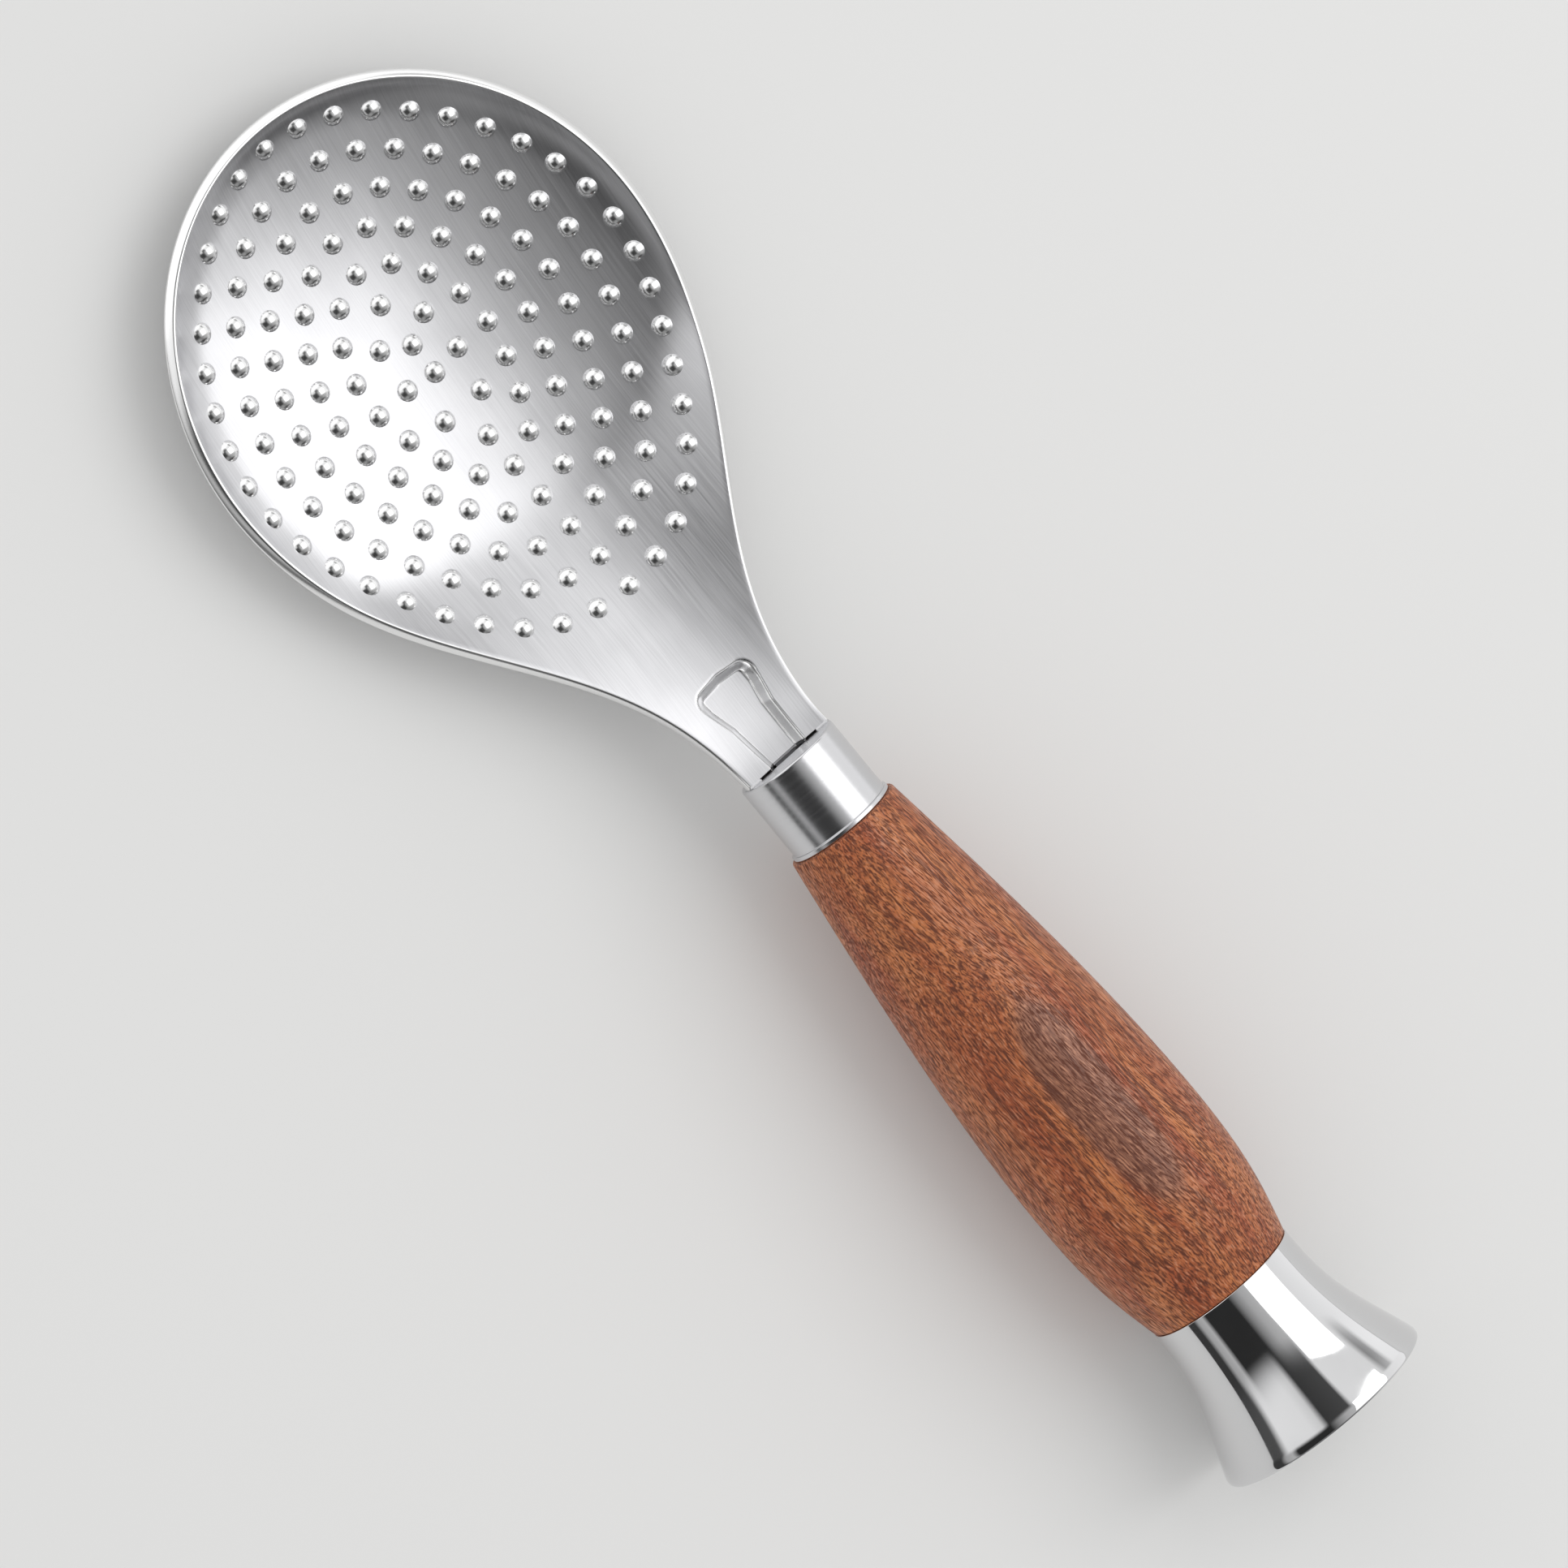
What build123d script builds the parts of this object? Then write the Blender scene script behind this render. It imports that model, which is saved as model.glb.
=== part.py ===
from build123d import *

import os
from math import atan, cos, exp, hypot, radians, sin

# Rice paddle: a pressed steel blade on a turned wooden handle, between a steel collar and a flared steel cap.
# It lies on its back, with the blade's hollow upwards, the tip towards +X and the tail towards -X.
# Lengths are in millimetres. Along the paddle they are counted from the collar's front face,
# forwards for the blade and backwards for the handle. Heights are counted from the handle's axis.

os.makedirs("parts", exist_ok=True)

# Blade plan, to the inner edge of the rim
sheet = 1.7
bowl_centre = 68.8
bowl_half_width = 33.6
bowl_tip_reach = 36.6
neck_half_width = 7.0

# Blade hollow
bowl_rise = 5.1
wall_rise = 2.1
wall_fade = 60.0
neck_slope = 0.15
neck_droop = 0.0035
neck_dish = 0.009
ramp_blend = 1.2
rim_round = 0.4

# Raised dots in rings, one inside the other
ring_half_width = 30.2
ring_tip_reach = 33.9
ring_neck_reach = 39.5
ring_step = 5.15
ring_counts = [40, 34, 28, 22, 16, 8]
middle_pair_gap = 4.6
middle_pair_setback = 0.8
dot_radius = 1.45
dot_height = 0.8
pit_radius = 1.25
pit_depth = 0.7

# Sunken channel that stiffens the neck
channel_length = 13.4
channel_depth = 1.8
channel_tail_half = 3.15
channel_tip_half = 5.3
channel_corner = 2.0
channel_arch = 0.6
channel_swell = 0.5
channel_draft = 20.0

# Collar
collar_length = 11.6
collar_radius = 7.4
collar_wall = 0.8
collar_face = 1.0
lip_length = 0.7
lip_height = 0.35
collar_round = 0.4
lip_round = 0.2

# Wooden grip
grip_length = 78.2
grip_front_radius = 8.25
grip_back_radius = 10.75
grip_belly_radius = 13.4
grip_belly_place = 56.5
grip_round = 0.35
front_spigot_length = 9.4
back_spigot_length = 8.0

# Tail cap
cap_length = 21.8
cap_mouth_radius = 10.9
cap_rim_radius = 15.7
cap_wall = 0.9
cap_flare = 19.0
cap_waist_place = 8.8
cap_waist_radius = 11.6
cap_band = 0.9
cap_round = 0.35

# Tang, its washer and its nut
tang_radius = 2.5
tang_start = 1.6
tab_length = 14.0
washer_radius = 7.0
washer_thickness = 1.0
nut_across_flats = 8.0
nut_thickness = 4.0
tang_proud = 1.6
tang_chamfer = 0.5
nut_chamfer = 0.3

# Clearances, and an overrun for every cut
slip = 0.15
bore_slip = 0.2
thread_slip = 0.05
overrun = 2.0

# Shares of the size that each one follows
wall_start_share = 0.92
channel_waist_share = 0.5
wall_stop_share = 1.2
rim_ring_share = 1.1
neck_outline_shares = [(0.69, 0.851), (0.413, 0.499), (0.205, 0.278)]
ring_neck_shares = [(0.55, 0.79), (0.8, 0.575), (0.95, 0.33)]
grip_rise_shares = [(0.224, 0.44), (0.486, 0.845)]
grip_fall_shares = [(0.62, 0.33)]

# Places that follow from the sizes above
axis_height = cap_rim_radius
bowl_floor = sheet - cap_rim_radius
handle_length = collar_length + grip_length + cap_length
dot_ball = (dot_radius**2 + dot_height**2) / (2 * dot_height)
pit_ball = (pit_radius**2 + pit_depth**2) / (2 * pit_depth)


def ring_share(reach, side):
    """How far out a place lies, from 0 in the middle of the bowl to 1 on the outer ring of dots."""
    ahead = reach - bowl_centre
    along = ahead / (ring_tip_reach if ahead > 0 else ring_neck_reach)
    return hypot(along, side / ring_half_width)


def top_height(reach, side):
    """Height of the sheet's upper face over the handle's axis."""
    share = ring_share(reach, side)
    fade = max(0, (reach - bowl_centre + wall_fade) / (bowl_tip_reach + wall_fade))
    climb = max(0, (share - wall_start_share) / (rim_ring_share - wall_start_share))
    inner, beyond = min(climb, wall_stop_share), max(0, climb - wall_stop_share)
    curl = inner**3 + wall_stop_share**3 * (1 - exp(-3 * beyond / wall_stop_share))
    bowl = bowl_floor + bowl_rise * share**2 + wall_rise * fade * curl
    dish = neck_dish * side**2 * (1 - exp(-max(0, reach) / neck_half_width))
    ramp = sheet / 2 - neck_slope * reach - neck_droop * reach * abs(reach) + dish
    return (bowl + ramp + hypot(bowl - ramp, ramp_blend)) / 2


def slopes(reach, side):
    """Rise per millimetre of the upper face, forwards and sideways."""
    probe = sheet / 100
    along = top_height(reach + probe, side) - top_height(reach - probe, side)
    across = top_height(reach, side + probe) - top_height(reach, side - probe)
    return along / (2 * probe), across / (2 * probe)


tip_lean = atan(slopes(bowl_centre + bowl_tip_reach, 0)[0])
tip_reach = bowl_centre + bowl_tip_reach + sheet * sin(tip_lean)
tip_reach -= rim_round * (sin(tip_lean) + cos(tip_lean) - 1)
front = (handle_length - tip_reach) / 2
tail_plane = Plane(origin=(front, 0, axis_height), x_dir=(-1, 0, 0), z_dir=(0, 1, 0))
section_plane = Plane(origin=(front, 0, axis_height), x_dir=(0, -1, 0), z_dir=(-1, 0, 0))
handle_axis = Axis((front, 0, axis_height), (-1, 0, 0))
front_plane = Plane(origin=(front, 0, axis_height), z_dir=(1, 0, 0))


def on_top(reach, side):
    """The plane that touches the upper face at a place, with its normal up and outwards."""
    along, across = slopes(reach, side)
    point = (front + reach, side, axis_height + top_height(reach, side))
    return Plane(origin=point, z_dir=(-along, -across, 1))


def dot_places():
    """Plan places of the raised dots, evenly spaced along each ring from the tip to the neck."""
    places = []
    for ring, count in enumerate(ring_counts):
        inset = ring * ring_step
        wide, ahead, behind = ring_half_width - inset, ring_tip_reach - inset, ring_neck_reach - inset
        points = [(bowl_centre + ahead, 0), (bowl_centre, wide)]
        points += [(bowl_centre - behind * x, wide * y) for x, y in ring_neck_shares]
        points += [(bowl_centre - behind, 0)]
        half = Spline(*points, tangents=[(0, 1), (0, -1)])
        for step in range(count // 2 + 1):
            place = half @ (2 * step / count)
            places.append((place.X, place.Y))
            if 0 < step < count // 2:
                places.append((place.X, -place.Y))
    middle = bowl_centre - middle_pair_setback
    return places + [(middle - middle_pair_gap / 2, 0), (middle + middle_pair_gap / 2, 0)]


# Plan of the blade
with BuildSketch(Plane.XY) as blade_plan:
    with BuildLine():
        neck_points = [(front + bowl_centre * x, bowl_half_width * y) for x, y in neck_outline_shares]
        widest = (front + bowl_centre, bowl_half_width)
        tip = (front + bowl_centre + bowl_tip_reach, 0)
        EllipticalCenterArc((front + bowl_centre, 0), bowl_tip_reach, bowl_half_width, arc_size=90)
        side = Spline(widest, *neck_points, (front, neck_half_width), tangents=[(-1, 0), (-1, 0)])
        Line(side @ 1, (front - overrun, neck_half_width))
        Line((front - overrun, neck_half_width), (front - overrun, 0))
        Line((front - overrun, 0), tip)
    make_face()
    mirror(about=Plane.XZ)

# Upper face of the sheet, on a grid that reaches past the plan
along_steps, across_steps = 56, 38
first_reach, last_reach = -2 * overrun, bowl_centre + bowl_tip_reach + overrun
last_side = bowl_half_width + overrun
grid = []
for i in range(along_steps + 1):
    reach = first_reach + (last_reach - first_reach) * i / along_steps
    sides = [last_side * (2 * j / across_steps - 1) for j in range(across_steps + 1)]
    grid.append([(front + reach, y, axis_height + top_height(reach, y)) for y in sides])
wide_face = Face.make_surface_from_array_of_points(grid, tol=sheet / 100, min_deg=3)
plan_prism = extrude(blade_plan.sketch, amount=4 * axis_height)
upper_face = wide_face.intersect(plan_prism).faces()[0]

# Outline of the channel, drawn on the neck's upper face
channel_drop = atan((top_height(0, 0) - top_height(channel_length, 0)) / channel_length)
channel_plane = Plane(
    origin=(front, 0, axis_height + top_height(0, 0)),
    x_dir=(cos(channel_drop), 0, -sin(channel_drop)),
    z_dir=(sin(channel_drop), 0, cos(channel_drop)),
)
with BuildSketch(channel_plane) as channel_mouth:
    with BuildLine():
        waist = (channel_length * channel_waist_share, channel_tail_half + channel_swell)
        shoulder = (channel_length, channel_tip_half)
        crown = (channel_length + channel_arch, 0)
        Polyline(crown, shoulder, waist, (0, channel_tail_half), (-overrun, channel_tail_half))
        Line((-overrun, channel_tail_half), (-overrun, 0))
        Line((-overrun, 0), crown)
    make_face()
    mirror(about=Plane.XZ)
    shoulders = channel_mouth.vertices().sort_by(Axis.X)[-3:-1]
    fillet(shoulders, channel_corner)
with BuildSketch(channel_plane.offset(-sheet / 2)) as channel_pad:
    offset(channel_mouth.sketch_local, amount=sheet)

# Section of the tab that runs on from the neck into the handle, and the outline round it
tab_top = top_height(0, 0)
tab_half = channel_tail_half + sheet
trough_floor = tab_top - channel_depth
hung = dict(left_side_angle=90 - channel_draft, rotation=180, align=(Align.CENTER, Align.MIN))
with BuildSketch(section_plane) as tab_outline:
    with Locations((0, tab_top)):
        Trapezoid(2 * tab_half, sheet + channel_depth, **hung)
with BuildSketch(section_plane) as tab_section:
    add(tab_outline.sketch_local)
    with Locations((0, tab_top)):
        Trapezoid(2 * channel_tail_half, channel_depth, mode=Mode.SUBTRACT, **hung)

# Blade: the pressed sheet with its rounded rim, channel, tab, dots and the pits behind the dots
dot_planes = [on_top(*place) for place in dot_places()]
with BuildPart() as blade:
    thicken(upper_face, amount=sheet, normal_override=(0, 0, -1))
    split(bisect_by=front_plane, keep=Keep.TOP)
    fillet(blade.edges().filter_by(lambda edge: edge.length > bowl_centre), rim_round)
    extrude(channel_pad.sketch, amount=-(sheet / 2 + channel_depth), taper=channel_draft)
    split(bisect_by=front_plane, keep=Keep.TOP)
    extrude(tab_section.sketch, amount=tab_length)
    extrude(channel_mouth.sketch, amount=-channel_depth, taper=channel_draft, mode=Mode.SUBTRACT)
    extrude(channel_mouth.sketch, amount=channel_depth, mode=Mode.SUBTRACT)
    with Locations(*[plane.offset(dot_height - dot_ball) for plane in dot_planes]):
        Sphere(dot_ball, arc_size1=0, align=(Align.CENTER, Align.CENTER, Align.MIN))
    with Locations(*[plane.offset(pit_depth - sheet - pit_ball) for plane in dot_planes]):
        Sphere(pit_ball, mode=Mode.SUBTRACT)
blade.part.label = "blade"
export_step(blade.part, "parts/blade.step")

# Collar: a turned cup, slotted for the tab, with a lip against the wood
collar_bore = collar_radius - collar_wall
with BuildPart() as collar:
    with BuildSketch(tail_plane):
        with BuildLine():
            lip_start = collar_length - lip_length
            Polyline(
                (0, 0),
                (0, collar_radius),
                (lip_start, collar_radius),
                (lip_start, collar_radius + lip_height),
                (collar_length, collar_radius + lip_height),
                (collar_length, collar_bore),
                (collar_face, collar_bore),
                (collar_face, 0),
                close=True,
            )
        make_face()
    revolve(axis=handle_axis)
    circles = collar.edges().filter_by(GeomType.CIRCLE).group_by(Axis.X)
    fillet(circles[-1], collar_round)
    fillet([circles[place].sort_by(SortBy.RADIUS)[-1] for place in (0, 1)], lip_round)
    slot = offset(tab_section.sketch, slip, mode=Mode.PRIVATE)
    extrude(slot, amount=2 * collar_face, both=True, mode=Mode.SUBTRACT)
collar.part.label = "collar"
export_step(collar.part, "parts/collar.step")

# Wooden grip: turned outside, with a spigot at each end, bored for the tang and slotted for the tab
front_spigot_radius = collar_bore - slip
back_spigot_radius = cap_mouth_radius - cap_wall - slip
grip_end = collar_length + grip_length
with BuildPart() as handle_grip:
    with BuildSketch(tail_plane):
        with BuildLine():
            belly = collar_length + grip_belly_place
            swell = grip_belly_radius - grip_front_radius
            shrink = grip_belly_radius - grip_back_radius
            outline_points = [(collar_length, grip_front_radius)]
            outline_points += [(collar_length + grip_length * x, grip_front_radius + swell * y)
                               for x, y in grip_rise_shares]
            outline_points += [(belly, grip_belly_radius)]
            outline_points += [(belly + (grip_end - belly) * x, grip_belly_radius - shrink * y)
                               for x, y in grip_fall_shares]
            outline = Spline(*outline_points, (grip_end, grip_back_radius))
            Polyline(
                outline @ 1,
                (grip_end, back_spigot_radius),
                (grip_end + back_spigot_length, back_spigot_radius),
                (grip_end + back_spigot_length, 0),
                (collar_length - front_spigot_length, 0),
                (collar_length - front_spigot_length, front_spigot_radius),
                (collar_length, front_spigot_radius),
                outline @ 0,
            )
        make_face()
    revolve(axis=handle_axis)
    circles = handle_grip.edges().filter_by(GeomType.CIRCLE).group_by(Axis.X)
    fillet([circles[place].sort_by(SortBy.RADIUS)[-1] for place in (1, -2)], grip_round)
    with Locations(section_plane):
        Cylinder(
            tang_radius + bore_slip,
            grip_end + back_spigot_length + overrun,
            align=(Align.CENTER, Align.CENTER, Align.MIN),
            mode=Mode.SUBTRACT,
        )
    slot = offset(tab_outline.sketch, bore_slip, mode=Mode.PRIVATE)
    extrude(slot, amount=tab_length + bore_slip, mode=Mode.SUBTRACT)
handle_grip.part.label = "handle_grip"
export_step(handle_grip.part, "parts/handle_grip.step")


def flare(inset):
    """The cap's flared wall, from its mouth to its end, drawn so far inside its outer face."""
    return Spline(
        (grip_end, cap_mouth_radius - inset),
        (grip_end + cap_waist_place, cap_waist_radius - inset),
        (grip_end + cap_length - cap_band, cap_rim_radius - inset),
        tangents=[(1, 0), (cos(radians(cap_flare)), sin(radians(cap_flare)))],
    )


# Tail cap: a flared shell, closed by a flat end that the paddle can stand on
with BuildPart() as tail_cap:
    with BuildSketch(tail_plane):
        with BuildLine():
            outside = flare(0)
            cap_end = grip_end + cap_length
            Polyline(outside @ 1, (cap_end, cap_rim_radius), (cap_end, 0), (grip_end, 0), outside @ 0)
        make_face()
    revolve(axis=handle_axis)
    fillet(tail_cap.edges().filter_by(GeomType.CIRCLE).group_by(Axis.X)[0], cap_round)
    with BuildSketch(tail_plane):
        with BuildLine():
            inside = flare(cap_wall)
            Polyline(inside @ 1, ((inside @ 1).X, 0), (grip_end, 0), inside @ 0)
        make_face()
    revolve(axis=handle_axis, mode=Mode.SUBTRACT)
tail_cap.part.label = "tail_cap"
export_step(tail_cap.part, "parts/tail_cap.step")

# Tang: a round rod, cut flat in front where it is welded into the tab's trough
washer_start = grip_end + back_spigot_length
nut_start = washer_start + washer_thickness
tang_end = nut_start + nut_thickness + tang_proud
with BuildPart() as tang:
    with Locations(section_plane.offset(tang_start)):
        Cylinder(tang_radius, tang_end - tang_start, align=(Align.CENTER, Align.CENTER, Align.MIN))
    chamfer(tang.edges().filter_by(GeomType.CIRCLE).group_by(Axis.X)[0], tang_chamfer)
    with BuildSketch(section_plane.offset(tang_start)):
        with Locations((0, trough_floor)):
            Rectangle(2 * tab_half, 2 * tang_radius, align=(Align.CENTER, Align.MAX))
    extrude(amount=tab_length + bore_slip - tang_start, mode=Mode.SUBTRACT)
tang.part.label = "tang"
export_step(tang.part, "parts/tang.step")

# Washer and nut that draw the grip against the collar
with BuildPart() as tang_washer:
    with BuildSketch(section_plane.offset(washer_start)):
        Circle(washer_radius)
        Circle(tang_radius + bore_slip, mode=Mode.SUBTRACT)
    extrude(amount=washer_thickness)
tang_washer.part.label = "tang_washer"
export_step(tang_washer.part, "parts/tang_washer.step")

with BuildPart() as tang_nut:
    with BuildSketch(section_plane.offset(nut_start)):
        RegularPolygon(nut_across_flats / 2, 6, major_radius=False)
        Circle(tang_radius + thread_slip, mode=Mode.SUBTRACT)
    extrude(amount=nut_thickness)
    chamfer(tang_nut.edges().filter_by(GeomType.CIRCLE), nut_chamfer)
tang_nut.part.label = "tang_nut"
export_step(tang_nut.part, "parts/tang_nut.step")
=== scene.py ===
from math import cos, pi, radians, sin, tan

import bmesh
import bpy
import numpy as np
from bpy.props import FloatProperty, FloatVectorProperty, PointerProperty
from mathutils import Matrix, Vector


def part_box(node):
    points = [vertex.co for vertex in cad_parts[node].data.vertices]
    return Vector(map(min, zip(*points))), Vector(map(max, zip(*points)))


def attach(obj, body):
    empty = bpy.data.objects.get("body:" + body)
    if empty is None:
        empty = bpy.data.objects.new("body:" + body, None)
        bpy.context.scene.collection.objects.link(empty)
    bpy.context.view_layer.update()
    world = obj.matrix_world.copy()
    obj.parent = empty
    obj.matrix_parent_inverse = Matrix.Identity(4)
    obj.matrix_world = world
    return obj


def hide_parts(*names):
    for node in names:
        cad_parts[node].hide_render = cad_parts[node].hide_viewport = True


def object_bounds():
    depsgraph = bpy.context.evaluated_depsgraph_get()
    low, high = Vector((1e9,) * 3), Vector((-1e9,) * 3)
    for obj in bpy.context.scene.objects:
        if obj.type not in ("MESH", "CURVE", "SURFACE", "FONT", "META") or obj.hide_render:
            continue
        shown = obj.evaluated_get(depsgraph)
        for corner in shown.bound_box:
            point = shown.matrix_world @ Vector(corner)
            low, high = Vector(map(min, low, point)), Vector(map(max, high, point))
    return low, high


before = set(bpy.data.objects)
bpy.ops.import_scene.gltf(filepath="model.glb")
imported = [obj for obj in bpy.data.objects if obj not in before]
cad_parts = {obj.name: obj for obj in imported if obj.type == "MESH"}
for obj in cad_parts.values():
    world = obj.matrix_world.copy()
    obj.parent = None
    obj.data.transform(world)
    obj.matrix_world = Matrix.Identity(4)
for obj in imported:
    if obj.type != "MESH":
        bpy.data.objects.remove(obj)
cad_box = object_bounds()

bl_info = {
    "name": "Rice paddle",
    "version": (1, 0, 0),
    "blender": (4, 5, 0),
    "location": "3D View > Sidebar > Rice paddle",
    "description": "Builds a dotted steel rice paddle with a turned wooden handle",
    "category": "Add Mesh",
}

MM = 0.001

# Sizes are in millimetres. Reaches are counted from the collar's front face, forwards for the blade
# and backwards for the handle, and heights from the handle's axis.
collar_low, collar_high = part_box("collar")
front = collar_high.x / MM
axis_height = (collar_low.z + collar_high.z) / 2 / MM
sheet = 1.7

# Plan of the blade
bowl_centre = 68.8
bowl_half_width = 33.6
bowl_tip_reach = 36.6
neck_half_width = 7.0
neck_outline_shares = [(0.205, 0.278), (0.413, 0.499), (0.69, 0.851)]

# Hollow of the blade
bowl_rise = 5.1
wall_rise = 2.1
wall_fade = 60.0
wall_start_share = 0.92
wall_stop_share = 1.2
rim_ring_share = 1.1
neck_slope = 0.15
neck_droop = 0.0035
neck_dish = 0.009
ramp_blend = 1.2

# Rings of raised dots
ring_half_width = 30.2
ring_tip_reach = 33.9
ring_neck_reach = 39.5
ring_step = 5.15
ring_counts = [40, 34, 28, 22, 16, 8]
ring_neck_shares = [(0.55, 0.79), (0.8, 0.575), (0.95, 0.33)]
middle_pair_gap = 4.6
middle_pair_setback = 0.8
pit_radius = 1.25
pit_depth = 0.7

# Channel pressed into the neck, and the tab that runs on into the handle
channel_outline = [(-20.0, 3.15), (0.0, 3.15), (6.7, 3.65), (13.4, 5.3), (14.0, 0.0)]
channel_corner = 2.0
channel_side_wall = 1.3
channel_end_wall = 2.0
channel_end_start = 10.0
channel_end_run = 3.0
end_easing = 0.3
tab_length = 14.0
tab_half = 4.85
tab_depth = 3.5
tab_taper = 20.0

# Collar, grip and cap
collar_length = 11.6
collar_radius = 7.4
collar_wall = 0.8
collar_face = 1.0
collar_round = 0.4
lip_length = 0.7
lip_height = 0.35
lip_round = 0.2
lip_shoulder_round = 0.14
lip_foot_round = 0.12
bore_round = 0.1
grip_outline = [(0.0, 8.25), (17.5, 10.52), (38.0, 12.6), (56.5, 13.4), (70.0, 12.53), (78.2, 10.75)]
grip_round = 0.35
grip_length = 78.2
spigot_gap = 0.15
front_spigot = 9.4
back_spigot = 8.0
bore_radius = 2.7
cap_length = 21.8
cap_mouth_radius = 10.9
cap_waist = (8.8, 11.6)
cap_rim_radius = 15.7
cap_wall = 0.9
cap_band = 0.9
cap_flare = 19.0
cap_round = 0.35
mouth_round = 0.12

# Mesh counts, and the places and limits that go with them. The cells of the blade are under a
# millimetre wide, and finer in the neck. Angles are in degrees.
neck_columns = 56
neck_run = 17.0
columns = 172
rows = 88
rim_row = 0.8
corner_angle = 50.0
turn_steps = 144
dot_steps = 20
dot_rings = 24
pit_steps = 14
pit_rings = 16
dot_sunk = 0.5
dot_margin = 1.2
surface_slack = 0.02
facing_limit = 0.9
rim_edge_angle = 60.0
blade_crease = 33
turned_crease = 35


def linear_colour(code):
    """An sRGB hex colour as linear red, green, blue and alpha."""
    channels = [int(code[k:k + 2], 16) / 255 for k in (1, 3, 5)]
    return [c / 12.92 if c <= 0.04045 else ((c + 0.055) / 1.055) ** 2.4 for c in channels] + [1.0]


class PaddleSizes(bpy.types.PropertyGroup):
    """Sizes of the paddle that can be changed by hand."""

    rim_round: FloatProperty(
        name="Rim rounding", description="Radius on the edges of the blade's rim",
        default=0.4 * MM, unit="LENGTH",
    )
    dot_radius: FloatProperty(
        name="Dot radius", description="Radius of a raised dot at its foot",
        default=1.45 * MM, unit="LENGTH",
    )
    dot_height: FloatProperty(
        name="Dot height", description="Height of a raised dot over the sheet",
        default=0.8 * MM, unit="LENGTH",
    )
    channel_depth: FloatProperty(
        name="Channel depth", description="Depth of the channel in the neck",
        default=1.8 * MM, unit="LENGTH",
    )


class PaddleFinish(bpy.types.PropertyGroup):
    """Colours and roughness of the paddle's finishes."""

    wood: FloatVectorProperty(
        name="Wood", description="Colour of the wood between its pores", subtype="COLOR", size=4,
        default=linear_colour("#C97A46"),
    )
    pores: FloatVectorProperty(
        name="Pores", description="Colour of the wood's open pores", subtype="COLOR", size=4,
        default=linear_colour("#5E2C18"),
    )
    floor: FloatVectorProperty(
        name="Floor", description="Colour of the floor under the paddle", subtype="COLOR", size=4,
        default=linear_colour("#E9E9E8"),
    )
    brushed_roughness: FloatProperty(
        name="Brushed roughness", description="Roughness of the blade's brushed face",
        default=0.34, min=0, max=1,
    )
    polished_roughness: FloatProperty(
        name="Polished roughness", description="Roughness of the polished rim and dots",
        default=0.2, min=0, max=1,
    )


# Shapes as formulas


def top_height(reach, side):
    """Height of the sheet's upper face over the handle's axis."""
    ahead = reach - bowl_centre
    along = np.where(ahead > 0, ahead / ring_tip_reach, ahead / ring_neck_reach)
    share = np.hypot(along, side / ring_half_width)
    fade = np.maximum(0, (ahead + wall_fade) / (bowl_tip_reach + wall_fade))
    climb = np.maximum(0, (share - wall_start_share) / (rim_ring_share - wall_start_share))
    inner, beyond = np.minimum(climb, wall_stop_share), np.maximum(0, climb - wall_stop_share)
    curl = inner**3 + wall_stop_share**3 * (1 - np.exp(-3 * beyond / wall_stop_share))
    bowl = sheet - axis_height + bowl_rise * share**2 + wall_rise * fade * curl
    dish = neck_dish * side**2 * (1 - np.exp(-np.maximum(0, reach) / neck_half_width))
    ramp = sheet / 2 - neck_slope * reach - neck_droop * reach * np.abs(reach) + dish
    return (bowl + ramp + np.hypot(bowl - ramp, ramp_blend)) / 2


def sheet_normals(reach, side):
    """Unit normals of the sheet's upper face."""
    probe = sheet / 100
    along = (top_height(reach + probe, side) - top_height(reach - probe, side)) / (2 * probe)
    across = (top_height(reach, side + probe) - top_height(reach, side - probe)) / (2 * probe)
    normals = np.stack([-along, -across, np.ones_like(along)], axis=-1)
    return normals / np.linalg.norm(normals, axis=-1, keepdims=True)


def smooth_curve(points, tangents=None, steps=40):
    """Points along the smooth curve that runs through the given points, with or without end tangents."""
    points = np.array(points, float)
    spans = np.linalg.norm(np.diff(points, axis=0), axis=1)
    rates = np.diff(points, axis=0) / spans[:, None]
    last = len(points) - 1
    matrix, values = np.zeros((last + 1, last + 1)), np.zeros(points.shape)
    for k in range(1, last):
        matrix[k, k - 1:k + 2] = 1 / spans[k - 1], 2 / spans[k - 1] + 2 / spans[k], 1 / spans[k]
        values[k] = 3 * (rates[k - 1] / spans[k - 1] + rates[k] / spans[k])
    if tangents:
        matrix[0, 0] = matrix[last, last] = 1
        values[0], values[last] = tangents
    else:
        matrix[0, :2] = 2, 1
        matrix[last, last - 1:] = 1, 2
        values[0], values[last] = 3 * rates[0], 3 * rates[-1]
    slopes = np.linalg.solve(matrix, values)
    share = np.linspace(0, 1, steps + 1)[:, None]
    curve = [points[:1]]
    for k in range(last):
        curve.append((
            (1 + 2 * share) * (1 - share) ** 2 * points[k]
            + share * (1 - share) ** 2 * spans[k] * slopes[k]
            + share**2 * (3 - 2 * share) * points[k + 1]
            - share**2 * (1 - share) * spans[k] * slopes[k + 1]
        )[1:])
    return np.concatenate(curve)


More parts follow.
